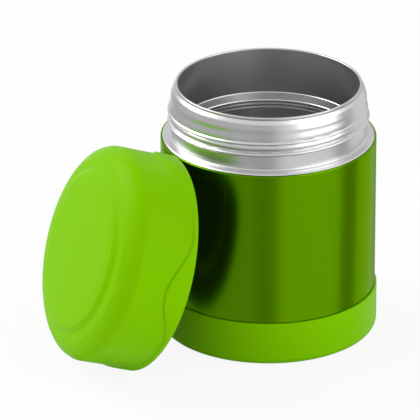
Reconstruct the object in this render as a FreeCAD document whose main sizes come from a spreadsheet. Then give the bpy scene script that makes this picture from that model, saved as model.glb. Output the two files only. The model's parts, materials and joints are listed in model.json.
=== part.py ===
"""Insulated food jar: a double-walled steel jar with a screw lid that leans on it."""
import FreeCAD, Part
import math
import os
import Sketcher

# Driving dimensions in millimetres and degrees, with what each one measures
SIZES = [
    ("body_radius", 43.0, "outside of the painted steel body"),
    ("body_top", 81.2, "height where the paint stops at the shoulder"),
    ("body_foot_radius", 41.9, "reduced end of the body inside the boot"),
    ("sheet_wall", 0.6, "thickness of every drawn steel sheet"),
    ("edge_break", 0.5, "bevel on the body's top corner"),
    ("boot_radius", 43.75, "outside of the moulded boot"),
    ("boot_rim", 18.2, "height of the boot's upper edge"),
    ("boot_floor", 3.0, "thickness of the boot's floor"),
    ("boot_round", 3.2, "rounding of the boot's bottom edge"),
    ("boot_groove", 0.8, "depth of the ring groove under the boot"),
    ("boot_groove_radius", 36.0, "outside of that groove"),
    ("boot_groove_width", 5.0, "width of that groove at the foot"),
    ("joint_gap", 0.1, "play between moulded and steel pieces"),
    ("rim_top", 103.5, "height of the open jar"),
    ("rim_radius", 37.15, "outside of the rolled rim"),
    ("flare_radius", 38.9, "plain neck between rim, thread and shoulder"),
    ("flare_depth", 4.6, "height over which the rim flares to the plain neck"),
    ("thread_crest", 39.95, "outside of the rolled thread"),
    ("thread_start", 9.0, "depth of the thread's first groove below the rim"),
    ("thread_pitch", 2.3, "height of one rolled ridge"),
    ("neck_root", 21.4, "depth of the neck's foot below the rim"),
    ("bore_radius", 36.1, "inside of the mouth"),
    ("bore_depth", 17.7, "smooth part of the mouth above the ledge"),
    ("ledge_height", 3.0, "height of the tapered ledge"),
    ("vessel_radius", 35.1, "inside of the vessel below the ledge"),
    ("vessel_floor", 12.6, "height of the food side of the vessel's floor"),
    ("vessel_corner", 8.0, "rounding between the vessel's wall and floor"),
    ("cap_rise", 7.0, "height of the bottom cap's upper face"),
    ("cap_flange_radius", 41.2, "outside of the bottom cap's flange"),
    ("foil_wall", 0.3, "thickness of the wound foil"),
    ("lid_rim_radius", 43.44, "outside of the lid's raised grip band"),
    ("skirt_radius", 42.9, "outside of the lid's plain skirt"),
    ("lobe_top", 9.7, "height of the grip band at a lobe"),
    ("lobe_valley", 2.0, "height of the grip band between lobes"),
    ("lid_wall", 1.5, "wall of the lid's outer shell"),
    ("crown_height", 32.0, "height of the lid's crown above its rim"),
    ("disc_radius", 31.4, "raised centre of the crown"),
    ("shoulder_height", 20.7, "height where the skirt turns into the crown"),
    ("liner_radius", 41.3, "outside of the lid's threaded liner"),
    ("liner_root", 40.4, "inside of the liner between threads"),
    ("liner_ceiling", 23.5, "height of the liner's ceiling"),
    ("plug_radius", 33.5, "outside of the liner's hollow plug"),
    ("plug_bottom", 19.0, "height of the plug's lower face"),
    ("gasket_outer", 38.6, "outside of the sealing ring"),
    ("gasket_height", 1.9, "height of the sealing ring"),
    ("lid_lean", 18.78, "angle of the lid's axis above the table"),
    ("lid_centre_x", -56.5, "centre of the lid's rim, across"),
    ("lid_centre_y", -15.94, "centre of the lid's rim, sideways"),
    ("lobe_turn", 4.0, "turn of the lid about its own axis"),
]
# Counts and small shared values
LOBES = 4
LOBE_HALF_ANGLE = 31.0
RIDGES = 3
RIM_BREAK = 0.4
SEAL_HOLE = 1.6
GETTER_OFFSET = 14.0
GETTER_RADIUS = 4.0
GETTER_HEIGHT = 1.8
DIMPLE_RISE = 1.2
# A quarter arc's middle lies this share of its radius inside the corner that it rounds
ARC_SAG = 1 - math.sqrt(0.5)


class Measure:
    """A number together with the sheet expression that gives it."""

    def __init__(self, value, text):
        self.value = value
        self.text = text

    def _join(self, other, sign, result):
        return Measure(result, "(%s %s %s)" % (self.text, sign, as_measure(other).text))

    def __add__(self, other):
        return self._join(other, "+", self.value + as_measure(other).value)

    def __sub__(self, other):
        return self._join(other, "-", self.value - as_measure(other).value)

    def __mul__(self, other):
        return self._join(other, "*", self.value * as_measure(other).value)

    def __truediv__(self, other):
        return self._join(other, "/", self.value / as_measure(other).value)


def as_measure(size):
    """Wrap a plain number so that it can stand beside a Measure."""
    return size if isinstance(size, Measure) else Measure(float(size), repr(float(size)))


def fill_sheet(doc):
    """Write the driving dimensions to a sheet and return them as Measures by name."""
    sheet = doc.addObject("Spreadsheet::Sheet", "Sizes")
    sizes = {}
    for row, (alias, value, meaning) in enumerate(SIZES, start=1):
        sheet.set("A%d" % row, meaning)
        sheet.set("B%d" % row, str(value))
        sheet.setAlias("B%d" % row, alias)
        sizes[alias] = Measure(value, "Sizes." + alias)
    doc.recompute()
    return sizes


def origin_plane(body, role):
    """Find one of a body's own origin planes."""
    for feature in body.Origin.OriginFeatures:
        if feature.Role == role:
            return feature
    raise ValueError("no plane " + role)


def draw_outline(sketch, outline):
    """Draw a closed outline of (across, up) corners; a corner may carry the middle of an arc to the next.

    A corner is (across, up) or (across, up, (mid_across, mid_up)), and each is bound to the sheet.
    A sketch keeps its arcs anticlockwise, so an arc that runs the other way is drawn from its far end.
    """
    corners = [(as_measure(item[0]), as_measure(item[1])) for item in outline]
    points = [FreeCAD.Vector(across.value, up.value, 0) for across, up in corners]
    count = len(outline)
    ends = []
    for index, item in enumerate(outline):
        start, end = points[index], points[(index + 1) % count]
        ends.append((1, 2))
        if len(item) == 3:
            middle = FreeCAD.Vector(as_measure(item[2][0]).value, as_measure(item[2][1]).value, 0)
            if (middle - start).cross(end - middle).z < 0:
                start, end = end, start
                ends[index] = (2, 1)
            sketch.addGeometry(Part.Arc(start, middle, end), False)
        else:
            sketch.addGeometry(Part.LineSegment(start, end), False)
    rules = []
    texts = []
    for index, item in enumerate(outline):
        near, far = ends[index]
        after = (index + 1) % count
        for kind, measure in zip(("DistanceX", "DistanceY"), corners[index]):
            rules.append(Sketcher.Constraint(kind, -1, 1, index, near, measure.value))
            texts.append(measure.text)
        rules.append(Sketcher.Constraint("Coincident", index, far, after, ends[after][0]))
        texts.append(None)
        if len(item) == 3:
            rules.append(Sketcher.Constraint("Radius", index, sketch.Geometry[index].Radius))
            texts.append(None)
    sketch.addConstraint(rules)
    for row, text in enumerate(texts):
        if text:
            sketch.setExpression("Constraints[%d]" % row, text)


def turned_body(doc, label, outline):
    """Make a round piece by turning an outline of (radius, height) about the vertical axis."""
    body = doc.addObject("PartDesign::Body", label)
    body.Label = label
    sketch = body.newObject("Sketcher::SketchObject", label + "_profile")
    sketch.AttachmentSupport = (origin_plane(body, "XZ_Plane"), [""])
    sketch.MapMode = "FlatFace"
    draw_outline(sketch, outline)
    turn = body.newObject("PartDesign::Revolution", label + "_turn")
    turn.Profile = sketch
    turn.ReferenceAxis = (sketch, ["V_Axis"])
    turn.Angle = 360.0
    doc.recompute()
    return body


def make_outer_body(doc, d):
    """Painted steel tube: rolled in at the shoulder and stepped in to take the boot."""
    outer = d["body_radius"]
    foot = d["body_foot_radius"]
    wall = d["sheet_wall"]
    top = d["body_top"]
    edge = d["edge_break"]
    step = d["boot_rim"] + 0.15
    return turned_body(doc, "outer_body", [
        (foot - wall, d["boot_floor"]),
        (foot, d["boot_floor"]),
        (foot, step - 0.6),
        (outer, step),
        (outer, top - edge),
        (outer - edge, top),
        (outer - edge - 0.9, top),
        (outer - edge - 0.9, top - wall),
        (outer - wall - edge, top - wall),
        (outer - wall, top - wall - edge),
        (outer - wall, step + 0.6),
        (foot - wall, step),
    ])


def make_neck_ring(doc, d):
    """Bare steel neck: flared rim, three rolled ridges, plain band and spun-out shoulder."""
    rim = d["rim_top"] - 1.0
    lip = d["rim_radius"]
    plain = d["flare_radius"]
    inside = plain - d["sheet_wall"]
    flare_foot = d["rim_top"] - d["flare_depth"]
    flare_middle = d["rim_top"] - d["flare_depth"] * 0.5
    thread = d["rim_top"] - d["thread_start"]
    pitch = d["thread_pitch"]
    crest = d["thread_crest"]
    root = d["rim_top"] - d["neck_root"]
    seat = d["body_top"]
    shoulder = d["body_radius"] - d["edge_break"]
    outline = [
        (lip - 0.4, rim),
        (lip + 0.05, rim),
        (plain - 0.5, flare_middle),
        (plain, flare_foot),
    ]
    for ridge in range(RIDGES):
        groove = thread - pitch * ridge
        outline += [
            (plain, groove),
            (crest, groove - pitch * 0.36),
            (crest, groove - pitch * 0.64),
        ]
    outline += [
        (plain, thread - pitch * RIDGES),
        (plain, root + 0.6),
        (plain + 0.6, root),
        (shoulder - 0.5, seat + 0.55),
        (shoulder, seat + 0.1),
        (shoulder, seat),
        (plain + 2.0, seat),
        (inside + 0.4, root - 0.1),
        (inside, root + 0.6),
        (inside, flare_foot),
        (lip - 0.4, flare_middle + 0.4),
    ]
    return turned_body(doc, "neck_ring", outline)


def make_inner_vessel(doc, d):
    """Drawn steel liner: rolled lip, smooth mouth, tapered ledge and rounded floor."""
    wall = d["sheet_wall"]
    rim = d["rim_top"]
    bore = d["bore_radius"]
    lip = d["rim_radius"]
    ledge_top = rim - d["bore_depth"]
    ledge_foot = ledge_top - d["ledge_height"]
    inside = d["vessel_radius"]
    floor = d["vessel_floor"]
    corner = d["vessel_corner"]
    sag = corner * ARC_SAG
    outer_sag = sag - wall * (1 - ARC_SAG)
    return turned_body(doc, "inner_vessel", [
        (0, floor),
        (inside - corner, floor, (inside - sag, floor + sag)),
        (inside, floor + corner),
        (inside, ledge_foot),
        (bore, ledge_top),
        (bore, rim - 0.3),
        (bore + 0.3, rim),
        (lip - 0.3, rim),
        (lip, rim - 0.3),
        (lip, rim - 0.95),
        (bore + wall, rim - 0.95),
        (bore + wall, ledge_top - 0.2),
        (inside + wall, ledge_foot - 0.2),
        (inside + wall, floor + corner, (inside - outer_sag, floor + outer_sag)),
        (inside - corner, floor - wall),
        (0, floor - wall),
    ])


def make_foil_wrap(doc, d):
    """Bright foil wound once round the vessel inside the vacuum space."""
    inside = d["vessel_radius"] + d["sheet_wall"] + 0.05
    low = d["vessel_floor"] + d["vessel_corner"] + 1.5
    high = d["rim_top"] - d["bore_depth"] - d["ledge_height"] - 2.8
    return turned_body(doc, "foil_wrap", [
        (inside, low),
        (inside + d["foil_wall"], low),
        (inside + d["foil_wall"], high),
        (inside, high),
    ])


def make_getter(doc, d):
    """Pill that binds the last gas, fixed under the vessel beside its middle."""
    top = d["vessel_floor"] - d["sheet_wall"]
    bevel = 0.4
    body = turned_body(doc, "getter", [
        (0, top - GETTER_HEIGHT),
        (GETTER_RADIUS - bevel, top - GETTER_HEIGHT),
        (GETTER_RADIUS, top - GETTER_HEIGHT + bevel),
        (GETTER_RADIUS, top),
        (0, top),
    ])
    body.Placement = FreeCAD.Placement(FreeCAD.Vector(GETTER_OFFSET, 0, 0), FreeCAD.Rotation())
    return body


def make_bottom_cap(doc, d):
    """Steel bottom of the vacuum space: flanged plate with a pierced dimple."""
    wall = d["sheet_wall"]
    rise = d["cap_rise"]
    flange = d["cap_flange_radius"]
    bend = 1.2
    dimple = rise + DIMPLE_RISE
    return turned_body(doc, "bottom_cap", [
        (SEAL_HOLE, dimple - wall),
        (6.2, dimple - wall),
        (9.2, rise - wall),
        (flange - bend - wall, rise - wall),
        (flange - wall, rise - bend - wall),
        (flange - wall, d["boot_floor"]),
        (flange, d["boot_floor"]),
        (flange, rise - bend),
        (flange - bend, rise),
        (9.0, rise),
        (6.0, dimple),
        (SEAL_HOLE, dimple),
    ])


def make_seal_plug(doc, d):
    """Brazed bead that closes the hole in the bottom cap's dimple."""
    plate = d["cap_rise"] + DIMPLE_RISE - d["sheet_wall"]
    return turned_body(doc, "seal_plug", [
        (0, plate - 0.9),
        (1.6, plate - 0.8),
        (2.6, plate),
        (SEAL_HOLE - 0.1, plate),
        (SEAL_HOLE - 0.1, plate + 0.9),
        (0, plate + 0.9),
    ])


def make_base_boot(doc, d):
    """Moulded boot: a shallow cup with a rounded foot and a ring groove underneath."""
    outer = d["boot_radius"]
    inside = d["body_foot_radius"] + d["joint_gap"]
    rim = d["boot_rim"]
    rounding = d["boot_round"]
    sag = rounding * ARC_SAG
    groove = d["boot_groove_radius"]
    groove_inside = groove - d["boot_groove_width"]
    depth = d["boot_groove"]
    return turned_body(doc, "base_boot", [
        (0, 0),
        (groove_inside, 0),
        (groove_inside + depth, depth),
        (groove - depth, depth),
        (groove, 0),
        (outer - rounding, 0, (outer - sag, sag)),
        (outer, rounding),
        (outer, rim - 0.3),
        (outer - 0.3, rim),
        (inside + 1.1, rim),
        (inside, rim - 0.75),
        (inside, d["boot_floor"]),
        (0, d["boot_floor"]),
    ])


def make_lid_profile(doc, d):
    """Lid shell before its band is shaped: a cup with a thick band and a stepped crown."""
    band = d["lid_rim_radius"]
    skirt = d["skirt_radius"]
    inside = skirt - d["lid_wall"]
    band_top = d["lobe_top"] + 0.5
    turn = d["shoulder_height"]
    crown = d["crown_height"]
    disc = d["disc_radius"]
    ceiling = crown - d["lid_wall"] * 2
    return turned_body(doc, "lid_profile", [
        (inside, 0),
        (band - RIM_BREAK, 0),
        (band, RIM_BREAK),
        (band, band_top),
        (skirt, band_top),
        (skirt, turn, (skirt - 1.5, turn + 5.0)),
        (skirt - 3.5, turn + 6.6),
        (disc + 0.3, crown - 1.4),
        (disc, crown - 1.1, (disc * 0.6, crown - 0.28)),
        (6, crown),
        (0, crown),
        (0, ceiling),
        (disc + 0.8, ceiling),
        (skirt - 4.1, turn + 5.2),
        (skirt - 2.5, turn + 4.0),
        (inside, turn),
        (inside, 1.45),
        (inside - 0.5, 1.2),
        (inside - 0.5, 0.95),
        (inside, 0.6),
    ])


def make_lid_shell(doc, d):
    """Lid shell: its grip band is swept up into lobes by cutting the valleys between them."""
    profile = make_lid_profile(doc, d)
    skirt = d["skirt_radius"]
    lobe = d["lobe_top"]
    valley = d["lobe_valley"]
    half_turn = math.radians(180 / LOBES)
    reach = (skirt + 0.1) * math.sin(half_turn)
    flat = (skirt + 0.1) * math.sin(half_turn - math.radians(LOBE_HALF_ANGLE))
    middle = (reach + flat) / 2
    height = (lobe + valley) / 2
    above = lobe + 1.5
    quarter = (reach - flat) * 0.25
    bend = quarter_rise((reach - flat).value, (lobe - valley).value)
    wave = [
        (flat * -1, valley),
        (flat, valley, (flat + quarter, valley + bend)),
        (middle, height, (reach - quarter, lobe - bend)),
        (reach, lobe),
        (reach, above),
        (reach * -1, above),
        (reach * -1, lobe, (quarter - reach, lobe - bend)),
        (middle * -1, height, (flat * -1 - quarter, valley + bend)),
    ]
    wave_sketch = doc.addObject("Sketcher::SketchObject", "valley_outline")
    draw_outline(wave_sketch, wave)
    outward = FreeCAD.Rotation(FreeCAD.Vector(0, 1, 0), FreeCAD.Vector(0, 0, 1), FreeCAD.Vector(1, 0, 0))
    wave_sketch.Placement = FreeCAD.Placement(FreeCAD.Vector(20, 0, 0), outward)
    valleys = []
    for index in range(LOBES):
        cutter = doc.addObject("Part::Extrusion", "valley_%d" % (index + 1))
        cutter.Base = wave_sketch
        cutter.DirMode = "Normal"
        cutter.LengthFwd = 30.0
        cutter.Solid = True
        turn = FreeCAD.Rotation(FreeCAD.Vector(0, 0, 1), (index + 0.5) * 360 / LOBES)
        cutter.Placement = FreeCAD.Placement(FreeCAD.Vector(), turn)
        valleys.append(cutter)
    outside = doc.addObject("Part::Cylinder", "band_space")
    outside.setExpression("Radius", "Sizes.lid_rim_radius + 2")
    outside.setExpression("Height", "Sizes.lobe_top + 0.5")
    plain = doc.addObject("Part::Cylinder", "skirt_space")
    plain.setExpression("Radius", "Sizes.skirt_radius")
    plain.setExpression("Height", "Sizes.lobe_top + 0.5")
    ring = boolean(doc, "Part::Cut", "band_ring", outside, plain)
    all_valleys = doc.addObject("Part::MultiFuse", "valleys")
    all_valleys.Shapes = valleys
    tool = boolean(doc, "Part::Common", "band_valleys", ring, all_valleys)
    shell = boolean(doc, "Part::Cut", "lid_shell", profile, tool)
    shell.Label = "lid_shell"
    return shell


def quarter_rise(run, rise):
    """Height of a flank's S-bend a quarter of the way along: two equal arcs meet at its middle."""
    radius = (run ** 2 + rise ** 2) / (4 * rise)
    return radius - math.sqrt(radius ** 2 - (run / 4) ** 2)


def boolean(doc, kind, name, base, tool):
    """Add a two-shape boolean."""
    result = doc.addObject(kind, name)
    result.Base = base
    result.Tool = tool
    return result


def make_lid_liner(doc, d):
    """Lid liner: the cup that screws onto the neck, with a hollow plug that dips into the mouth."""
    outer = d["liner_radius"]
    root = d["liner_root"]
    ceiling = d["liner_ceiling"]
    plug = d["plug_radius"]
    low = d["plug_bottom"]
    wall = 1.2
    return turned_body(doc, "lid_liner", [
        (0, low),
        (plug - 0.6, low),
        (plug, low + 0.6),
        (plug, low + 1.7),
        (plug + 0.45, low + 2.0),
        (plug + 0.45, low + 2.15),
        (plug, low + 2.4),
        (plug, ceiling),
        (root - 1.2, ceiling),
        (root, ceiling - 2.9),
        (root, 1.9),
        (root + 0.4, 1.5),
        (outer, 1.5),
        (outer, ceiling - 2.1),
        (outer - 2.0, ceiling + wall),
        (plug - wall - 0.1, ceiling + wall),
        (plug - wall - 0.1, low + wall),
        (0, low + wall),
    ])


def make_lid_insulation(doc, d):
    """Foam disc that fills the liner's plug up to the underside of the crown."""
    low = d["plug_bottom"] + 1.2
    high = d["crown_height"] - d["lid_wall"] * 2
    radius = d["plug_radius"] - 1.5
    return turned_body(doc, "lid_insulation", [
        (0, low),
        (radius, low),
        (radius, high),
        (0, high),
    ])


def make_lid_gasket(doc, d):
    """Silicone ring held in the groove round the liner's plug."""
    inside = d["plug_radius"] + 0.2
    outer = d["gasket_outer"]
    top = d["liner_ceiling"] - 0.15
    low = top - d["gasket_height"]
    return turned_body(doc, "lid_gasket", [
        (inside, low),
        (inside + 0.9, low),
        (inside + 1.3, low + 0.35),
        (outer - 1.4, low + 0.35),
        (outer - 1.0, low),
        (outer - 0.3, low),
        (outer, low + 0.3),
        (outer, top),
        (inside, top),
    ])


def lean_lid(pieces, d):
    """Stand the lid on its edge beside the jar, its open side against the body."""
    lean = math.radians(d["lid_lean"].value)
    rise = d["lid_rim_radius"].value * math.cos(lean) - RIM_BREAK * math.sin(lean)
    centre = FreeCAD.Vector(d["lid_centre_x"].value, d["lid_centre_y"].value, rise)
    tilt = FreeCAD.Rotation(FreeCAD.Vector(0, 1, 0), d["lid_lean"].value - 90)
    turn = FreeCAD.Rotation(FreeCAD.Vector(0, 0, 1), d["lobe_turn"].value)
    for piece in pieces:
        piece.Placement = FreeCAD.Placement(centre, tilt * turn)
    axis = tilt.multVec(FreeCAD.Vector(0, 0, 1))
    print("lid centre", [round(value, 3) for value in centre])
    print("lid axis", [round(value, 5) for value in axis])


def check(doc, pieces):
    """Stop if any object failed or any piece is not a sound solid."""
    for item in doc.Objects:
        if "Invalid" in item.State or "Error" in item.State:
            raise ValueError("%s did not build: %s" % (item.Name, item.State))
    for piece in pieces:
        shape = piece.Shape
        if shape.isNull() or not shape.isValid() or shape.Volume <= 0:
            raise ValueError("%s is not a sound solid" % piece.Label)


def main():
    doc = FreeCAD.newDocument("food_jar")
    d = fill_sheet(doc)
    jar = [make(doc, d) for make in (
        make_outer_body, make_neck_ring, make_inner_vessel, make_foil_wrap,
        make_getter, make_bottom_cap, make_seal_plug, make_base_boot)]
    lid = [make(doc, d) for make in (
        make_lid_shell, make_lid_liner, make_lid_insulation, make_lid_gasket)]
    lean_lid(lid, d)
    doc.recompute()
    check(doc, jar + lid)
    os.makedirs("parts", exist_ok=True)
    for piece in jar + lid:
        piece.Shape.exportStep("parts/%s.step" % piece.Label)
        print("%-15s %2d solid, %8.1f mm3" % (piece.Label, len(piece.Shape.Solids), piece.Shape.Volume))


main()
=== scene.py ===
# %% [markdown]
# # An insulated food jar with its lid off
#
# The object is a double-walled steel food jar. A painted steel tube and a bare threaded neck make
# the outer wall, a drawn steel vessel makes the inner one, and a moulded boot protects the foot.
# The screw lid has been taken off and leans on its edge against the jar, open side inwards.
#
# The construction model is loaded first and gives every size that it shares with the picture.
# Nearly every visible piece is round, so most of this lesson is one idea used many times: a profile
# of radii and heights, turned about an axis as one numpy array.

# %% Load the construction model
import json
import math
import bmesh
import bpy
import numpy as np
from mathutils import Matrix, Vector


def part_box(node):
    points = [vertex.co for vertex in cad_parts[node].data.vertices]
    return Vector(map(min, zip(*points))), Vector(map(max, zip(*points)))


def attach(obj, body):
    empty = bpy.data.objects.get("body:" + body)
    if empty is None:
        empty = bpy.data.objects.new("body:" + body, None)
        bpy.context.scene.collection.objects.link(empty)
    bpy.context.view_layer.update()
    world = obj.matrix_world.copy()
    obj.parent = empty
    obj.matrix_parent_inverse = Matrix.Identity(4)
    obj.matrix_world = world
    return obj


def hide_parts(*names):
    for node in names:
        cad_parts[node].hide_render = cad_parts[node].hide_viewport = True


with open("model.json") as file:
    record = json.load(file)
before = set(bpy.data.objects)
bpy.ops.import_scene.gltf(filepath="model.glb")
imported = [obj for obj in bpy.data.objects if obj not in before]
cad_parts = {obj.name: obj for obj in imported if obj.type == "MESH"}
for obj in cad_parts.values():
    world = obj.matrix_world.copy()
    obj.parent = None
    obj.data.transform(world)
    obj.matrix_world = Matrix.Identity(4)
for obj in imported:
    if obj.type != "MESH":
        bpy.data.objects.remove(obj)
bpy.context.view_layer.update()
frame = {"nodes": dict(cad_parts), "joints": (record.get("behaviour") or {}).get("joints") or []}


# %% [markdown]
# ## Reading the sizes
#
# The jar stands on the origin with its axis along Z, so the ends of each node's box give its
# heights directly. The lid is tilted, so its box says little: its centre and its axis come from the
# joint that turns it. Two more directions make a frame of three for the lid, so that its pieces can
# be worked out upright and then laid over as whole arrays.
#
# All profiles below are written in millimetres, as the maker's drawing would be, and become metres
# when they are turned.

# %% Sizes and the lid's own directions
MM = 0.001


def top_of(node):
    """Height of a node's upper end, in mm."""
    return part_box(node)[1][2] / MM


def foot_of(node):
    """Height of a node's lower end, in mm."""
    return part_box(node)[0][2] / MM


rim = top_of("inner_vessel")
body_foot, body_rim = foot_of("outer_body"), top_of("outer_body")
boot_rim = top_of("base_boot")
shoulder = foot_of("neck_ring")
lid_joint = [joint for joint in frame["joints"] if joint["name"] == "lid_turn"][0]
lid_centre = np.array(lid_joint["pos_m"])
lid_up = np.array(lid_joint["axis"])
lid_side = np.array([0.0, 1.0, 0.0])
lid_front = np.cross(lid_side, lid_up)
print("rim %.1f mm, paint line %.1f mm, boot %.1f mm" % (rim, body_rim, boot_rim))
print("lid leans %.1f degrees" % math.degrees(math.asin(lid_up[2])))


# %% [markdown]
# ## The camera
#
# The rings of the jar are ellipses in the picture, and their proportions give the viewing angle.
# The widths at the shoulder and at the foot show that the lens is long and far away. The camera
# turns with the lid's direction, because the model's X axis was laid along the lid's lean.

# %% Camera at the photograph's viewpoint
VIEW_AZIMUTH = math.radians(-20.23)
VIEW_ELEVATION = math.radians(23.6)
VIEW_DISTANCE = 2.2
FIELD_WIDTH = 0.168
LOOK_SIDEWAYS = -0.02324
LOOK_HEIGHT = 0.0484
SENSOR_WIDTH = 36.0

look_at = np.array([LOOK_SIDEWAYS * math.cos(VIEW_AZIMUTH),
                    LOOK_SIDEWAYS * math.sin(VIEW_AZIMUTH), LOOK_HEIGHT])
back = np.array([math.sin(VIEW_AZIMUTH) * math.cos(VIEW_ELEVATION),
                 -math.cos(VIEW_AZIMUTH) * math.cos(VIEW_ELEVATION), math.sin(VIEW_ELEVATION)])
lens = bpy.data.cameras.new("camera")
lens.sensor_width = SENSOR_WIDTH
lens.lens = SENSOR_WIDTH * VIEW_DISTANCE / FIELD_WIDTH
lens.clip_start, lens.clip_end = 0.1, 20.0
camera = bpy.data.objects.new("camera", lens)
camera.location = look_at + VIEW_DISTANCE * back
camera.rotation_euler = (math.pi / 2 - VIEW_ELEVATION, 0.0, VIEW_AZIMUTH)
bpy.context.scene.collection.objects.link(camera)
bpy.context.scene.camera = camera
print("lens %.0f mm at %.1f m" % (lens.lens, VIEW_DISTANCE))


# %% [markdown]
# ## Rounding a profile
#
# Real edges are never quite sharp, and the small round on each of them is what catches the light.
# A Bevel modifier could do this on the finished mesh. Here each profile's corners are replaced by
# arcs before it is turned, because that costs no modifier and gives every edge its own radius.

# %% Profile helpers
LONGEST_SHARE = 0.45
ARC_STEP = math.radians(9)
NEARLY_STRAIGHT = math.radians(89)
NO_ANGLE = 1e-4


def round_corners(corners, default=0.25):
    """Profile through corners of (radius, height[, rounding]) in mm: each corner becomes an arc.

    The arc starts and ends one tangent's length before and after the corner, where the tangent is
    the rounding divided by the tangent of half the corner's angle, and at most 45% of either side.
    """
    points = [np.array(corner[:2], float) for corner in corners]
    rounding = [corner[2] if len(corner) > 2 else default for corner in corners]
    path = [points[0]]
    for before, here, after, radius in zip(points, points[1:], points[2:], rounding[1:]):
        back_way, forward = before - here, after - here
        back_long, forward_long = np.linalg.norm(back_way), np.linalg.norm(forward)
        back_way, forward = back_way / back_long, forward / forward_long
        half = math.acos(np.clip(back_way @ forward, -1, 1)) / 2
        if radius <= 0 or half > NEARLY_STRAIGHT:
            path.append(here)
            continue
        longest = LONGEST_SHARE * min(back_long, forward_long)
        tangent = min(radius / math.tan(half), longest) if half > NO_ANGLE else longest
        radius = tangent * math.tan(half)
        halfway = (back_way + forward) / np.linalg.norm(back_way + forward)
        middle = here + halfway * radius / math.sin(half)
        start, end = here + back_way * tangent, here + forward * tangent
        first = math.atan2(*(start - middle)[::-1])
        sweep = math.atan2(*(end - middle)[::-1]) - first
        sweep = (sweep + math.pi) % (2 * math.pi) - math.pi
        steps = max(3, int(abs(sweep) / ARC_STEP) + 1)
        angles = first + sweep * np.linspace(0, 1, steps)
        path.extend(middle + radius * np.stack([np.cos(angles), np.sin(angles)], axis=1))
    path.append(points[-1])
    return np.array(path)


def closed(profile):
    """Repeat the first point of a profile at its end, so that the turned wall closes."""
    return np.vstack([profile, profile[:1]])


def even_steps(profile, spacing):
    """Resample a profile so that no two neighbours lie further apart than spacing."""
    pieces = []
    for start, end in zip(profile[:-1], profile[1:]):
        count = max(1, int(np.ceil(np.linalg.norm(end - start) / spacing)))
        part = np.linspace(0, 1, count, endpoint=False)[:, None]
        pieces.append(start + (end - start) * part)
    return np.vstack(pieces + [profile[-1:]])


example = round_corners([(0, 0), (10, 0, 2), (10, 10)])
print("a square corner with a 2 mm round takes", len(example), "points")


# %% [markdown]
# ## Turning a profile
#
# A lathe makes a round piece by moving a profile about an axis. Here the turning is one
# multiplication with an array of angles. The rows may also change with the angle, which is how the
# thread and the lid's lobes come about. Blender's Screw modifier turns profiles too, but its
# profile can't change on the way round.

# %% Grids of points
JAR_FRAME = (np.zeros(3), np.array([1.0, 0, 0]), np.array([0, 1.0, 0]), np.array([0, 0, 1.0]))
LID_FRAME = (lid_centre, lid_front, lid_side, lid_up)
PLAIN_COLUMNS = 192


def turned_grid(profile, columns=PLAIN_COLUMNS, axes=JAR_FRAME):
    """Turn (radius, height) in mm about the jar's or the lid's axis.

    point = centre + radius * (cos angle * first + sin angle * second) + height * axis.
    profile is (rows, 2), or (rows, columns, 2) where it changes with the angle.
    """
    centre, first, second, axis = axes
    angles = np.linspace(0, 2 * math.pi, columns, endpoint=False)
    if profile.ndim == 2:
        profile = all_round(profile, columns)
    radius, height = profile[..., 0:1] * MM, profile[..., 1:2] * MM
    around = np.cos(angles)[:, None] * first + np.sin(angles)[:, None] * second
    return centre + radius * around[None] + height * axis


def all_round(profile, columns):
    """Repeat a plain profile for every column: (rows, 2) becomes (rows, columns, 2)."""
    return np.repeat(profile[:, None, :], columns, axis=1)


def rows_of(radius, height):
    """Pair radii with heights, either of which may change with the angle: (rows, columns, 2)."""
    return np.stack(np.broadcast_arrays(radius, height), axis=-1)


print("columns round a plain piece:", PLAIN_COLUMNS)


# %% Meshes and pieces
MERGE_DISTANCE = 1e-7
TINY_EDGE = 1e-8
SMOOTH_ANGLE = math.radians(40)


def grid_mesh(name, grid, ring=True):
    """Mesh of a grid of points (rows, columns, 3): neighbours are joined by quads.

    With ring, the last column is joined to the first. A row whose points all coincide is a pole,
    and finish_piece closes it by merging them.
    """
    rows, columns = grid.shape[:2]
    index = np.arange(rows * columns).reshape(rows, columns)
    right = np.roll(index, -1, axis=1) if ring else index[:, 1:]
    left = index if ring else index[:, :-1]
    quads = np.stack([left[:-1], right[:-1], right[1:], left[1:]], axis=-1).reshape(-1, 4)
    mesh = bpy.data.meshes.new(name)
    mesh.vertices.add(rows * columns)
    mesh.vertices.foreach_set("co", grid.reshape(-1))
    mesh.loops.add(quads.size)
    mesh.loops.foreach_set("vertex_index", quads.reshape(-1))
    mesh.polygons.add(len(quads))
    mesh.polygons.foreach_set("loop_start", np.arange(len(quads)) * 4)
    mesh.update(calc_edges=True)
    mesh.validate()
    return mesh


def finish_piece(name, grid, body, node, material):
    """Close the seams, shade smoothly, and let the piece stand for its node on its body."""
    mesh = grid_mesh(name, grid)
    work = bmesh.new()
    work.from_mesh(mesh)
    bmesh.ops.remove_doubles(work, verts=work.verts, dist=MERGE_DISTANCE)
    bmesh.ops.dissolve_degenerate(work, edges=work.edges, dist=TINY_EDGE)
    bmesh.ops.recalc_face_normals(work, faces=work.faces)
    work.to_mesh(mesh)
    work.free()
    mesh.polygons.foreach_set("use_smooth", np.ones(len(mesh.polygons), bool))
    mesh.set_sharp_from_angle(angle=SMOOTH_ANGLE)
    piece = bpy.data.objects.new(name, mesh)
    bpy.context.scene.collection.objects.link(piece)
    mesh.materials.append(material)
    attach(piece, body)
    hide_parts(node)
    print("%-18s %6d faces" % (name, len(mesh.polygons)))


print("pieces are smooth up to %.0f degrees" % math.degrees(SMOOTH_ANGLE))


# %% [markdown]
# ## Fine marks that several finishes share
#
# Turned steel carries fine rings round its axis, because the tool or the polishing belt touches it
# while it spins. Moulded plastic carries a faint grain and drifts a little in tone. Both effects
# are shader node groups, built once, and each material sets its own amounts.

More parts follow.
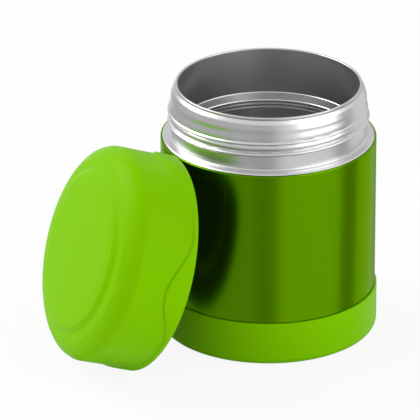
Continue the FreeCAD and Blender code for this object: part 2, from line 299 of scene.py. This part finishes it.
# %% Node helpers
def new_group(name, inputs, outputs):
    """An empty node group with (kind, name, default) inputs and (kind, name) outputs."""
    group = bpy.data.node_groups.new(name, "ShaderNodeTree")
    for kind, label, default in inputs:
        socket = group.interface.new_socket(label, in_out="INPUT", socket_type=kind)
        socket.default_value = default
    for kind, label in outputs:
        group.interface.new_socket(label, in_out="OUTPUT", socket_type=kind)
    return group, group.nodes.new("NodeGroupInput"), group.nodes.new("NodeGroupOutput")


def math_node(tree, operation, first, second=None):
    """A Math node whose operands are sockets or numbers."""
    node = tree.nodes.new("ShaderNodeMath")
    node.operation = operation
    for socket, value in zip(node.inputs, (first, second)):
        if value is None:
            continue
        if isinstance(value, (int, float)):
            socket.default_value = value
        else:
            tree.links.new(value, socket)
    return node.outputs[0]


def spread_about(tree, noise, middle, spread):
    """middle + (noise - 0.5) * spread, where noise runs from 0 to 1."""
    offset = math_node(tree, "MULTIPLY", math_node(tree, "SUBTRACT", noise, 0.5), spread)
    return math_node(tree, "ADD", middle, offset)


def noise_of(tree, vector, scale, detail):
    """The value of a noise texture on a vector; scale is a number or a socket."""
    node = tree.nodes.new("ShaderNodeTexNoise")
    node.inputs["Detail"].default_value = detail
    tree.links.new(vector, node.inputs["Vector"])
    if isinstance(scale, float):
        node.inputs["Scale"].default_value = scale
    else:
        tree.links.new(scale, node.inputs["Scale"])
    return node.outputs["Fac"]


def tinted(tree, colour, noise, spread):
    """The colour made lighter and darker about itself by the noise."""
    node = tree.nodes.new("ShaderNodeMix")
    node.data_type = "RGBA"
    node.blend_type = "MULTIPLY"
    node.inputs["Factor"].default_value = 1.0
    level = spread_about(tree, noise, 1.0, spread)
    grey = tree.nodes.new("ShaderNodeCombineColor")
    for socket in grey.inputs:
        tree.links.new(level, socket)
    tree.links.new(colour, node.inputs["A"])
    tree.links.new(grey.outputs[0], node.inputs["B"])
    return node.outputs["Result"]


print("node helpers are ready")


# %% [markdown]
# ### The two effects
#
# The rings need only two coordinates, the distance from the axis and the height, so one noise makes
# them on walls and on flat faces alike. A second, broad noise keeps them from looking perfectly
# even. The grain is a plain noise in space, and a broad one shifts the tone and the gloss.
#
# Both groups read Object coordinates. Every piece's object sits at the origin, so for the jar's
# pieces those coordinates are measured from the jar's own axis.

# %% Turned rings and mould grain
def start_effect(name, scale_name, scale):
    """A group with the inputs and outputs that both effects have, and its Object coordinates."""
    group, start, end = new_group(
        name,
        [("NodeSocketColor", "Color", (0.5, 0.5, 0.5, 1)), ("NodeSocketFloat", "Tone Spread", 0.1),
         ("NodeSocketFloat", "Roughness", 0.3), ("NodeSocketFloat", "Roughness Spread", 0.1),
         ("NodeSocketFloat", scale_name, scale)],
        [("NodeSocketColor", "Color"), ("NodeSocketFloat", "Roughness"),
         ("NodeSocketFloat", "Height")])
    place = group.nodes.new("ShaderNodeTexCoord").outputs["Object"]
    return group, start.outputs, end.inputs, place


def end_effect(group, given, result, marks, height):
    """Let the marks vary the given colour and roughness, and put out the height."""
    group.links.new(tinted(group, given["Color"], marks, given["Tone Spread"]), result["Color"])
    roughness = spread_about(group, marks, given["Roughness"], given["Roughness Spread"])
    group.links.new(roughness, result["Roughness"])
    group.links.new(height, result["Height"])
    return group


def make_turned_rings():
    """Rings round the Z axis: noise of (distance from the axis, height), the same at every angle.

    The marks are three parts of that noise and one part of a broad noise in space.
    """
    fine_share, broad_share, broad_scale = 0.75, 0.25, 45.0
    group, given, result, place = start_effect("turned rings", "Lines", 3000.0)
    parts = group.nodes.new("ShaderNodeSeparateXYZ")
    group.links.new(place, parts.inputs[0])
    across = math_node(group, "MULTIPLY", parts.outputs[0], parts.outputs[0])
    sideways = math_node(group, "MULTIPLY", parts.outputs[1], parts.outputs[1])
    distance = math_node(group, "SQRT", math_node(group, "ADD", across, sideways))
    ring = group.nodes.new("ShaderNodeCombineXYZ")
    group.links.new(distance, ring.inputs[0])
    group.links.new(parts.outputs[2], ring.inputs[2])
    fine = noise_of(group, ring.outputs[0], given["Lines"], 2.0)
    broad = noise_of(group, place, broad_scale, 2.0)
    marks = math_node(group, "ADD", math_node(group, "MULTIPLY", fine, fine_share),
                      math_node(group, "MULTIPLY", broad, broad_share))
    return end_effect(group, given, result, marks, fine)


def make_mould_grain():
    """Moulded skin: a fine even noise for the grain, and a broad one for the tone and the gloss."""
    broad_scale = 30.0
    group, given, result, place = start_effect("mould grain", "Grain", 4000.0)
    fine = noise_of(group, place, given["Grain"], 1.0)
    broad = noise_of(group, place, broad_scale, 3.0)
    return end_effect(group, given, result, broad, fine)


turned_rings = make_turned_rings()
mould_grain = make_mould_grain()
print("effects:", turned_rings.name, "and", mould_grain.name)


# %% [markdown]
# ## The finishes
#
# Each finish is one Principled shader with one of the two effects in front of it. The steel and the
# lacquered steel are fully metallic. The lacquer tints what the metal reflects, which is why the
# body looks deep green where its surroundings are dark. A metal turns white at a glancing angle,
# but paint keeps its hue there, so the lacquer's Specular Tint is a pale green. The lime plastic is
# plain and satin. Its low specular level keeps the white surroundings from washing out its colour.

# %% Materials
LIME = (0.235, 0.61, 0.0)
METAL = {"Metallic": 1.0}
LACQUER = {"Metallic": 1.0, "Specular Tint": (0.75, 0.9, 0.5, 1.0)}
SATIN = {"Specular IOR Level": 0.05, "Specular Tint": (0.6, 1.0, 0.2, 1.0)}

# name: effect, colour, (tone spread, roughness, roughness spread, scale of the marks),
#       (strength of the relief, its depth in mm), settings of the shader
FINISHES = {
    "painted_steel": (turned_rings, (0.134, 0.360, 0.0), (0.05, 0.24, 0.05, 2500.0),
                      (0.05, 0.004), LACQUER),
    "bare_steel": (turned_rings, (0.70, 0.70, 0.705), (0.16, 0.31, 0.12, 4200.0),
                   (0.25, 0.006), METAL),
    "inner_steel": (turned_rings, (0.62, 0.62, 0.62), (0.10, 0.30, 0.10, 3600.0),
                    (0.15, 0.006), METAL),
    "foil": (turned_rings, (0.80, 0.80, 0.82), (0.10, 0.18, 0.10, 900.0), (0.4, 0.02), METAL),
    "getter_metal": (mould_grain, (0.50, 0.50, 0.52), (0.15, 0.55, 0.10, 3000.0),
                     (0.3, 0.02), METAL),
    "solder": (mould_grain, (0.55, 0.55, 0.56), (0.15, 0.40, 0.15, 900.0), (0.4, 0.03), METAL),
    "lime_plastic": (mould_grain, LIME, (0.05, 0.36, 0.06, 3500.0), (0.10, 0.01), SATIN),
    # The liner's near-black colour is painted shade: it stands in for the shadow inside the lid, so
    # that the body's reflection of the lid's inside comes out dark.
    "liner_plastic": (mould_grain, (0.035, 0.036, 0.037), (0.10, 0.28, 0.08, 3000.0),
                      (0.08, 0.01), {"Specular IOR Level": 0.4}),
    "foam": (mould_grain, (0.80, 0.79, 0.73), (0.08, 0.85, 0.05, 1200.0), (0.6, 0.15), {}),
    "silicone": (mould_grain, (0.62, 0.62, 0.60), (0.05, 0.50, 0.06, 2500.0),
                 (0.10, 0.01), {"Specular IOR Level": 0.35}),
}


def make_finish(name, effect, colour, amounts, relief, settings):
    """Principled shader with an effect group on its colour, its roughness and its bump."""
    material = bpy.data.materials.new(name)
    material.use_nodes = True
    tree = material.node_tree
    shader = tree.nodes["Principled BSDF"]
    marks = tree.nodes.new("ShaderNodeGroup")
    marks.node_tree = effect
    marks.inputs[0].default_value = (*colour, 1)
    for socket, value in zip(marks.inputs[1:], amounts):
        socket.default_value = value
    tree.links.new(marks.outputs["Color"], shader.inputs["Base Color"])
    tree.links.new(marks.outputs["Roughness"], shader.inputs["Roughness"])
    strength, depth = relief
    bump = tree.nodes.new("ShaderNodeBump")
    bump.inputs["Strength"].default_value = strength
    bump.inputs["Distance"].default_value = depth * MM
    tree.links.new(marks.outputs["Height"], bump.inputs["Height"])
    tree.links.new(bump.outputs["Normal"], shader.inputs["Normal"])
    for label, value in settings.items():
        shader.inputs[label].default_value = value
    return material


finish = {name: make_finish(name, *values) for name, values in FINISHES.items()}
print("finishes:", ", ".join(finish))


# %% [markdown]
# ## The painted body
#
# The body is a steel tube that is stepped in at its foot, where the boot covers it, and rolled in
# at the top. Its profile goes up the outside, over the small rolled edge and down the inside, and
# closes on itself, so the wall has a real thickness. The top edge stands a hair away from the
# neck's shoulder, with a small groove beside it, and that gap draws the thin dark line between
# paint and bare steel.

# %% Body
BODY_OUTSIDE, BODY_INSIDE = 42.98, 42.4
FOOT_OUTSIDE, FOOT_INSIDE = 41.88, 41.32
GROOVE = 41.66

body_profile = closed(round_corners([
    (41.4, body_foot), (FOOT_OUTSIDE, body_foot + 0.02, 0.1), (FOOT_OUTSIDE, boot_rim - 0.5, 0.5),
    (BODY_OUTSIDE, boot_rim + 0.12, 0.5), (BODY_OUTSIDE, body_rim - 0.02, 0.45),
    (42.3, body_rim - 0.02, 0.1), (42.1, body_rim - 0.3, 0.1), (GROOVE, body_rim - 0.3, 0.05),
    (GROOVE, body_rim - 0.55, 0.05), (BODY_INSIDE, body_rim - 1.1, 0.2),
    (BODY_INSIDE, boot_rim + 0.7, 0.3), (FOOT_INSIDE, boot_rim + 0.1, 0.3),
    (FOOT_INSIDE, body_foot + 0.02, 0.02)]))
finish_piece("body_tube", turned_grid(body_profile), "jar", "outer_body", finish["painted_steel"])


# %% [markdown]
# ## The rolled thread
#
# The thread is pressed into the neck's sheet, so it is a soft bead and not a cut one. Seen from
# outside it climbs to the right, so it is right-handed. With s as the angle travelled along the
# helix, the bead's middle lies at
#
# depth(s) = 9.95 mm - pitch * s / 360 degrees
#
# and at any angle round the neck the beads present are those whose s lies between the thread's two
# ends. Each bead is a rounded bump across the depth and fades out at the ends. Above the uppermost
# turn the sheet widens gently towards the bead, as rolled sheet does.

# %% Helical bead shared by the neck and the lid's liner
THREAD_PITCH = 4.6
THREAD_MIDDLE = 9.95
THREAD_START, THREAD_END = -505.0, 106.0
TURNS_TRIED = range(-3, 3)
BEAD_POWER = 1.25
BEAD_FADE, LEAD_FADE = 40.0, 60.0
LEAD_TOP, LEAD_END, LEAD_DROP = 1.2, 0.9, 0.8


def smooth_step(value):
    """0 below 0, 1 above 1, and 3v^2 - 2v^3 between."""
    value = np.clip(value, 0, 1)
    return value * value * (3 - 2 * value)


def bead_height(depth, angle, start, end, half_width, offset=0.0):
    """Height from 0 to 1 of a helical bead at depths (rows, 1) and angles (columns,) in degrees.

    For each whole turn k, s = angle + 360 k. The bead is the cosine of its share of the half
    width, raised to BEAD_POWER, times a fade over BEAD_FADE degrees at either end.
    """
    total = np.zeros((depth.shape[0], angle.shape[0]))
    for turn in TURNS_TRIED:
        along = angle + 360.0 * turn
        middle = THREAD_MIDDLE - THREAD_PITCH * along / 360 + offset
        presence = (smooth_step((along - start) / BEAD_FADE)
                    * smooth_step((end - along) / BEAD_FADE))
        across = np.clip((depth - middle) / half_width, -1, 1)
        total = np.maximum(total, presence * np.cos(across * math.pi / 2) ** BEAD_POWER)
    return total


def lead_in(depth, angle, start, end, reach):
    """Rise from 0 to 1 over reach, down to the uppermost bead, whose underside ends it again."""
    along = angle + 360.0 * np.floor((end - angle) / 360.0)
    presence = smooth_step((along - start) / BEAD_FADE) * smooth_step((end - along) / LEAD_FADE)
    from_bead = depth - (THREAD_MIDDLE - THREAD_PITCH * along / 360)
    rising = smooth_step((from_bead + reach) / (reach - LEAD_TOP))
    ending = smooth_step((LEAD_END - from_bead) / LEAD_DROP)
    return presence * rising * ending


def around_view(columns):
    """Angles of the grid's columns, measured from the photograph's side, from -180 to 180."""
    angles = np.degrees(np.linspace(0, 2 * math.pi, columns, endpoint=False))
    facing = -90.0 + math.degrees(VIEW_AZIMUTH)
    return (angles - facing + 180) % 360 - 180


print("thread: %.1f turns of %.1f mm" % ((THREAD_END - THREAD_START) / 360, THREAD_PITCH))


# %% [markdown]
# ## The neck
#
# The neck is one spun ring: it flares out under the rim, carries the thread, and spreads into the
# shoulder. Between two turns of the thread the sheet bulges a little, which gives a soft third
# ridge. The outside is sampled every sixth of a millimetre, so that the beads stay round.

# %% Neck
NECK_COLUMNS = 256
NECK_SPACING = 0.16
NECK_OUTSIDE, NECK_INSIDE, LIP_INSIDE, NECK_EDGE = 38.9, 38.3, 36.85, 42.1
BEAD_PROUD, BEAD_HALF = 1.25, 1.05
LAND_PROUD, LAND_HALF, LAND_DELAY, LAND_OVERRUN = 0.55, 1.35, 330.0, 30.0
RISE_PROUD, RISE_REACH = 0.60, 4.4

neck_outside = even_steps(round_corners([
    (LIP_INSIDE, rim - 1.05), (37.2, rim - 1.05, 0.1), (38.15, rim - 2.4, 1.5),
    (NECK_OUTSIDE, rim - 4.8, 2.5), (NECK_OUTSIDE, shoulder + 0.92, 0.75),
    (41.75, shoulder + 0.62, 0.4), (42.28, shoulder + 0.15, 0.25),
    (NECK_EDGE, shoulder + 0.01, 0.05)]), NECK_SPACING)
neck_inside = round_corners([
    (NECK_EDGE, shoulder + 0.01), (40.9, shoulder + 0.01, 0.1), (38.7, shoulder + 0.4, 0.4),
    (NECK_INSIDE, shoulder + 1.6, 0.5), (NECK_INSIDE, rim - 5.0, 2.0),
    (LIP_INSIDE, rim - 2.2, 0.5), (LIP_INSIDE, rim - 1.05)])

neck_angles = around_view(NECK_COLUMNS)
neck_depth = rim - neck_outside[:, 1:2]
bead = BEAD_PROUD * bead_height(neck_depth, neck_angles, THREAD_START, THREAD_END, BEAD_HALF)
land = LAND_PROUD * bead_height(neck_depth, neck_angles, THREAD_START + LAND_DELAY,
                                THREAD_END + LAND_OVERRUN, LAND_HALF, THREAD_PITCH / 2)
rise = RISE_PROUD * lead_in(neck_depth, neck_angles, THREAD_START, THREAD_END, RISE_REACH)
neck_radius = neck_outside[:, 0:1] + np.maximum(np.maximum(bead, land), rise)
neck_rows = np.concatenate([rows_of(neck_radius, neck_outside[:, 1:2]),
                            all_round(neck_inside, NECK_COLUMNS)[1:]])
finish_piece("threaded_neck", turned_grid(neck_rows, NECK_COLUMNS), "jar", "neck_ring",
             finish["bare_steel"])


# %% [markdown]
# ## The inner vessel
#
# The vessel is drawn from one sheet. Its lip is rolled over the neck, the mouth is a smooth
# cylinder, and a tapered ledge leads into the slightly narrower vessel. The ledge faces up, so it
# shines while the walls stay dark, and a small bevel at its upper and its lower end draws the two
# bright lines. Two faint grooves below it are the marks of the drawing tool.

# %% Vessel
MOUTH, VESSEL, LIP = 36.1, 35.1, 37.13
SHEET = 0.6
ledge_top, ledge_foot = rim - 18.7, rim - 22.1
vessel_under = foot_of("inner_vessel") + 0.02
vessel_floor = vessel_under + SHEET - 0.01

tool_lines = [(VESSEL, ledge_foot - 3.0, 0.2), (VESSEL + 0.1, ledge_foot - 2.6, 0.1),
              (VESSEL, ledge_foot - 2.4, 0.2), (VESSEL, ledge_foot - 1.5, 0.2),
              (VESSEL + 0.1, ledge_foot - 1.1, 0.1), (VESSEL, ledge_foot - 0.9, 0.2)]
ledge = [(VESSEL, ledge_foot, 0.1), (VESSEL + 0.3, ledge_foot + 0.3, 0.15),
         (MOUTH - 0.25, ledge_top - 0.25, 0.15), (MOUTH, ledge_top, 0.1)]
lip = [(MOUTH, rim, 0.36), (LIP, rim, 0.36), (LIP, rim - 0.94, 0.1),
       (MOUTH + SHEET, rim - 0.94, 0.05)]
vessel_profile = round_corners(
    [(0, vessel_floor), (VESSEL, vessel_floor, 8.0)] + tool_lines + ledge + lip
    + [(MOUTH + SHEET, ledge_top - 0.2, 0.5), (VESSEL + SHEET, ledge_foot - 0.2, 0.5),
       (VESSEL + SHEET, vessel_under, 8.6), (0, vessel_under)])
finish_piece("inner_vessel_wall", turned_grid(vessel_profile), "jar", "inner_vessel",
             finish["inner_steel"])


# %% [markdown]
# ## The boot
#
# The boot is a shallow moulded cup. Its foot is rounded, its upper edge is a small radius, and its
# underside has a shallow ring groove, as such boots have so that they stand steadily.

# %% Boot
BOOT_OUTSIDE, BOOT_INSIDE = 43.74, 42.02
BOOT_UNDER, GROOVE_ROOF, BOOT_FLOOR = 0.01, 0.8, 3.02

boot_profile = round_corners([
    (0, BOOT_UNDER), (31.0, BOOT_UNDER, 0.3), (31.8, GROOVE_ROOF, 0.3), (35.2, GROOVE_ROOF, 0.3),
    (36.0, BOOT_UNDER, 0.3), (BOOT_OUTSIDE, BOOT_UNDER, 3.2),
    (BOOT_OUTSIDE, boot_rim - 0.01, 0.5), (42.9, boot_rim - 0.01, 0.15),
    (BOOT_INSIDE, boot_rim - 0.8, 0.3), (BOOT_INSIDE, BOOT_FLOOR, 0.2), (0, BOOT_FLOOR)])
finish_piece("foot_boot", turned_grid(boot_profile), "jar", "base_boot", finish["lime_plastic"])


# %% [markdown]
# ## The lid's shell and its wave
#
# Round the lid's open edge runs a grip band that stands about half a millimetre proud and sweeps up
# into four lobes. With delta as the angle from the nearest lobe's middle, its upper edge is at
#
# height = 2.0 + 7.7 * (1 + cos(180 degrees * delta / 31 degrees)) / 2, and 2.0 further out.
#
# The rows of the grid follow this edge, so that the step stays crisp: some rows fill the band, a
# few make the step, and the rest spread over the skirt. The crown is the same at every angle: a
# round shoulder, then a dished ring, then the slightly raised centre.

# %% The band's wave
LID_COLUMNS = 320
LOBE_COUNT, LOBE_TURN, LOBE_HALF = 4, 4.0, 31.0
WAVE_LOW, WAVE_RISE, BAND_START = 2.0, 7.7, 0.98
BAND_RADIUS, SKIRT_RADIUS, SKIRT_TOP = 43.42, 42.88, 20.7
STEP_BELOW, STEP_RUN = 0.30, 0.55
WAIST = 0.12

lobe_spacing = 360 / LOBE_COUNT
lid_angles = np.degrees(np.linspace(0, 2 * math.pi, LID_COLUMNS, endpoint=False))
from_lobe = (lid_angles - LOBE_TURN + lobe_spacing / 2) % lobe_spacing - lobe_spacing / 2
wave = WAVE_LOW + WAVE_RISE * 0.5 * (1 + np.cos(math.pi * np.clip(from_lobe / LOBE_HALF, -1, 1)))
print("the band's edge runs from %.1f to %.1f mm" % (wave.min(), wave.max()))


# %% Lid shell
def skirt_radius(height):
    """Radius of the skirt, with a shallow waist: the square of a sine over the skirt's height."""
    rise = np.clip(height / SKIRT_TOP, 0, 1)
    return SKIRT_RADIUS - WAIST * np.sin(math.pi * rise) ** 2


def parts(count):
    """Shares from 0 to 1 as a column, one for each row of the grid."""
    return np.linspace(0, 1, count)[:, None]


step_start = wave - STEP_BELOW
step_end = step_start + STEP_RUN
band_heights = BAND_START + (step_start - BAND_START) * parts(9)
step_heights = step_start + STEP_RUN * parts(8)[1:]
step_depth = skirt_radius(wave + STEP_RUN) - BAND_RADIUS
step_radii = BAND_RADIUS + step_depth * smooth_step(parts(8)[1:])
skirt_heights = step_end + (SKIRT_TOP - step_end) * parts(16)[1:]

rim_profile = round_corners([(41.4, 0.62), (41.4, 0.01, 0.2), (BAND_RADIUS, 0.01, 0.43),
                             (BAND_RADIUS, BAND_START)])
crown_profile = even_steps(round_corners([
    (SKIRT_RADIUS, SKIRT_TOP), (SKIRT_RADIUS + 0.02, 22.6, 3.0), (41.7, 25.4, 3.0),
    (39.5, 27.3, 2.0), (37.0, 28.7, 3.0), (33.2, 29.5, 1.2), (30.9, 30.98, 1.2),
    (27.0, 31.52, 8.0), (17.0, 31.84, 30.0), (6.0, 31.98, 10.0), (0, 31.99)]), 0.6)
shell_inside = round_corners([
    (0, 29.02), (32.2, 29.02, 0.5), (38.8, 25.95, 0.6), (40.4, 24.75, 0.6), (41.42, 20.7, 0.6),
    (41.42, 1.45, 0.1), (40.95, 1.2, 0.1), (40.95, 0.95, 0.1), (41.42, 0.62, 0.1), (41.4, 0.62)])

lid_rows = np.concatenate([
    all_round(rim_profile[:-1], LID_COLUMNS), rows_of(BAND_RADIUS, band_heights),
    rows_of(step_radii, step_heights), rows_of(skirt_radius(skirt_heights), skirt_heights),
    all_round(crown_profile[1:], LID_COLUMNS), all_round(shell_inside, LID_COLUMNS)])
finish_piece("lid_outer_shell", turned_grid(lid_rows, LID_COLUMNS, LID_FRAME), "lid", "lid_shell",
             finish["lime_plastic"])


# %% [markdown]
# ## The lid's liner
#
# Inside the shell sits the liner: a wall with the thread that grips the neck, and a hollow plug
# that dips into the mouth. Its thread is the same bead as the neck's, pressed inwards, so it is
# taken off the liner's radius instead of being added.

# %% Liner
LINER_COLUMNS = 224
LINER_BORE, LINER_OUTSIDE = 40.38, 41.28
PLUG_FACE, PLUG_RADIUS, PLUG_TOP = 19.02, 33.48, 23.48
LINER_BEAD_PROUD, LINER_BEAD_HALF = 0.95, 0.95
LINER_THREAD_START, LINER_THREAD_END, LINER_THREAD_OFFSET = -450.0, 0.0, -1.2

plug = round_corners([
    (0, PLUG_FACE), (PLUG_RADIUS, PLUG_FACE, 0.6), (PLUG_RADIUS, 20.7, 0.1), (33.93, 21.0, 0.1),
    (33.93, 21.15, 0.1), (PLUG_RADIUS, 21.4, 0.2), (PLUG_RADIUS, PLUG_TOP, 0.4),
    (39.2, PLUG_TOP)])
liner_inside = even_steps(round_corners([
    (39.2, PLUG_TOP), (LINER_BORE, 20.6, 0.8), (LINER_BORE, 1.9, 0.2),
    (LINER_BORE + 0.4, 1.52, 0.1)]), 0.25)
liner_back = round_corners([
    (LINER_BORE + 0.4, 1.52), (LINER_OUTSIDE, 1.52, 0.1), (LINER_OUTSIDE, 21.4, 0.5),
    (39.3, 24.68, 0.3), (32.2, 24.68, 0.2), (32.2, 20.18, 0.2), (0, 20.18)])

liner_angles = np.degrees(np.linspace(0, 2 * math.pi, LINER_COLUMNS, endpoint=False))
liner_bead = LINER_BEAD_PROUD * bead_height(
    liner_inside[:, 1:2], (liner_angles + 180) % 360 - 180, LINER_THREAD_START,
    LINER_THREAD_END, LINER_BEAD_HALF, LINER_THREAD_OFFSET)
liner_rows = np.concatenate([
    all_round(plug, LINER_COLUMNS),
    rows_of(liner_inside[:, 0:1] - liner_bead, liner_inside[:, 1:2])[1:],
    all_round(liner_back[1:], LINER_COLUMNS)])
finish_piece("lid_threaded_liner", turned_grid(liner_rows, LINER_COLUMNS, LID_FRAME), "lid",
             "lid_liner", finish["liner_plastic"])


# %% [markdown]
# ## The sealing ring
#
# Round the plug's foot lies a silicone ring with two lips, which meet the jar's rim. It is a body
# of its own, because it grips the rim and stays still while the lid turns.

# %% Sealing ring
RING_INSIDE, RING_OUTSIDE, RING_TOP, LIP_TIP, LIP_ROOT = 33.72, 38.58, 23.34, 21.47, 21.82

gasket_profile = closed(round_corners([
    (RING_INSIDE, 21.5), (34.55, LIP_TIP, 0.2), (35.0, LIP_ROOT, 0.2), (37.2, LIP_ROOT, 0.2),
    (37.6, LIP_TIP, 0.15), (38.3, LIP_TIP, 0.2), (RING_OUTSIDE, 21.8, 0.2),
    (RING_OUTSIDE, RING_TOP, 0.1), (RING_INSIDE, RING_TOP, 0.1)]))
finish_piece("sealing_ring", turned_grid(gasket_profile, axes=LID_FRAME), "seal", "lid_gasket",
             finish["silicone"])


# %% [markdown]
# ## Pieces that nobody sees
#
# The foil, the getter pill, the bottom cap with its soldered plug, and the foam in the lid are
# inside other pieces. Their construction solids are already what they need to be, so they only get
# their finishes.

# %% Finishes for the hidden pieces
HIDDEN_FINISHES = {"foil_wrap": "foil", "getter": "getter_metal", "bottom_cap": "inner_steel",
                   "seal_plug": "solder", "lid_insulation": "foam"}
for node, finish_name in HIDDEN_FINISHES.items():
    slots = frame["nodes"][node].data.materials
    slots.clear()
    slots.append(finish[finish_name])
print("finished solids:", ", ".join(HIDDEN_FINISHES))


# %% [markdown]
# ## Table and backdrop
#
# The photograph's ground is plain white. The world reads white to the camera, to glossy and to
# transmitted rays, and is a softer sky to everything else. The floor mixes its own white with a
# share of plain diffuse white, so it still takes the jar's shadow. Glossy rays don't meet the
# floor, because the grey cards further down stand for all that the polished body reflects.

# %% Floor and world
FLOOR_WIDTH, FLOOR_DROP = 12.0, 0.0002
FLOOR_OWN_SHARE, FLOOR_WHITE = 0.90, 0.95
SKY_LEVEL = 0.55


def bare_tree(owner):
    """The empty node tree of a material or a world."""
    owner.use_nodes = True
    owner.node_tree.nodes.clear()
    return owner.node_tree


def seen_rays(tree):
    """1 for camera, glossy and transmitted rays, and 0 for the rays that light things."""
    path = tree.nodes.new("ShaderNodeLightPath").outputs
    camera_or_gloss = math_node(tree, "MAXIMUM", path["Is Camera Ray"], path["Is Glossy Ray"])
    return math_node(tree, "MAXIMUM", camera_or_gloss, path["Is Transmission Ray"])


def show_mix(tree, share, first, second, target_kind):
    """Put the mix of two shaders on the output: second where share is 1."""
    mix = tree.nodes.new("ShaderNodeMixShader")
    target = tree.nodes.new(target_kind)
    for socket, source in zip(mix.inputs, (share, first.outputs[0], second.outputs[0])):
        tree.links.new(source, socket)
    tree.links.new(mix.outputs[0], target.inputs["Surface"])


def make_floor():
    """A white floor, wide enough for every view."""
    bpy.ops.mesh.primitive_plane_add(size=FLOOR_WIDTH, location=(0, 0, -FLOOR_DROP))
    floor = bpy.context.object
    floor.name = "floor"
    material = bpy.data.materials.new("floor_white")
    tree = bare_tree(material)
    own = tree.nodes.new("ShaderNodeEmission")
    lit = tree.nodes.new("ShaderNodeBsdfDiffuse")
    lit.inputs["Color"].default_value = (FLOOR_WHITE, FLOOR_WHITE, FLOOR_WHITE, 1)
    share = math_node(tree, "MULTIPLY", seen_rays(tree), FLOOR_OWN_SHARE)
    show_mix(tree, share, lit, own, "ShaderNodeOutputMaterial")
    floor.data.materials.append(material)
    floor.visible_glossy = False


def make_world():
    """White to the rays that see it, and a softer white sky to the rays that light things."""
    world = bpy.data.worlds.new("studio")
    bpy.context.scene.world = world
    tree = bare_tree(world)
    white = tree.nodes.new("ShaderNodeBackground")
    sky = tree.nodes.new("ShaderNodeBackground")
    sky.inputs["Strength"].default_value = SKY_LEVEL
    show_mix(tree, seen_rays(tree), sky, white, "ShaderNodeOutputWorld")


make_floor()
make_world()
bpy.context.scene.view_settings.view_transform = "Standard"
print("floor and world are in")


# %% [markdown]
# ## Lamps
#
# A large soft lamp high on the left lights the lid's crown, and another on the right lights the
# jar. Both are wide, because a small lamp would burn a hard spot into the bare steel.

# %% Two soft lamps
# name: azimuth from the photograph's side, elevation, width, power
LAMPS = {"key": (-108.0, 38.0, 1.3, 21.0), "side": (62.0, 26.0, 1.8, 15.0)}
LAMP_DISTANCE = 1.8
LAMP_AIM = 0.05


def add_lamp(name, azimuth, elevation, width, power):
    """A soft square lamp that faces the jar."""
    data = bpy.data.lights.new(name, "AREA")
    data.shape = "SQUARE"
    data.size = width
    data.energy = power
    lamp = bpy.data.objects.new(name, data)
    turn, lift = VIEW_AZIMUTH + math.radians(azimuth), math.radians(elevation)
    lamp.location = (LAMP_DISTANCE * math.sin(turn) * math.cos(lift),
                     -LAMP_DISTANCE * math.cos(turn) * math.cos(lift),
                     LAMP_AIM + LAMP_DISTANCE * math.sin(lift))
    lamp.rotation_euler = (math.pi / 2 - lift, 0.0, turn)
    bpy.context.scene.collection.objects.link(lamp)


for lamp_name, values in LAMPS.items():
    add_lamp(lamp_name, *values)
print("lamps:", ", ".join(LAMPS))


# %% [markdown]
# ## Grey cards for the polished pieces
#
# A studio photographer stands grey cards round polished metal, and their reflections draw the soft
# upright bands on it. Here they are curved sheets of plain light that only mirror-like rays see, so
# they neither light the jar nor show in the picture. The low card lies under all the others and
# darkens only what faces downwards, such as the undersides of the neck's ridges.

# %% Cards
# name: first and last azimuth from the photograph's side, grey level, upper edge, distance
CARDS = {
    "left_card": (-150.0, -14.0, 0.48, 0.4, 1.0),
    "camera_card": (-14.0, 10.0, 0.37, 0.4, 1.0),
    "right_card": (82.0, 106.0, 0.33, 0.4, 1.0),
    "back_card": (150.0, 185.0, 0.45, 0.4, 1.0),
    "low_card": (-180.0, 180.0, 0.03, -0.85, 0.97),
}
CARD_LOW = -3.0
CARD_COLUMNS = 17


def add_card(name, first, last, level, top, distance):
    """A curved upright card from one azimuth to another, that only mirror-like rays see.

    point(a, z) = distance * (sin a, -cos a) at height z, with a measured from the photo's side.
    """
    angles = VIEW_AZIMUTH + np.radians(np.linspace(first, last, CARD_COLUMNS))
    heights = np.array([CARD_LOW, top])[:, None]
    grid = np.stack(np.broadcast_arrays(distance * np.sin(angles), -distance * np.cos(angles),
                                        heights), axis=-1)
    mesh = grid_mesh(name, np.ascontiguousarray(grid), ring=False)
    card = bpy.data.objects.new(name, mesh)
    bpy.context.scene.collection.objects.link(card)
    material = bpy.data.materials.new(name)
    tree = bare_tree(material)
    tone = tree.nodes.new("ShaderNodeEmission")
    tone.inputs["Color"].default_value = (level, level, level, 1)
    target = tree.nodes.new("ShaderNodeOutputMaterial")
    tree.links.new(tone.outputs[0], target.inputs["Surface"])
    mesh.materials.append(material)
    card.visible_camera = card.visible_diffuse = card.visible_shadow = False


for card_name, values in CARDS.items():
    add_card(card_name, *values)
print("cards:", ", ".join(CARDS))
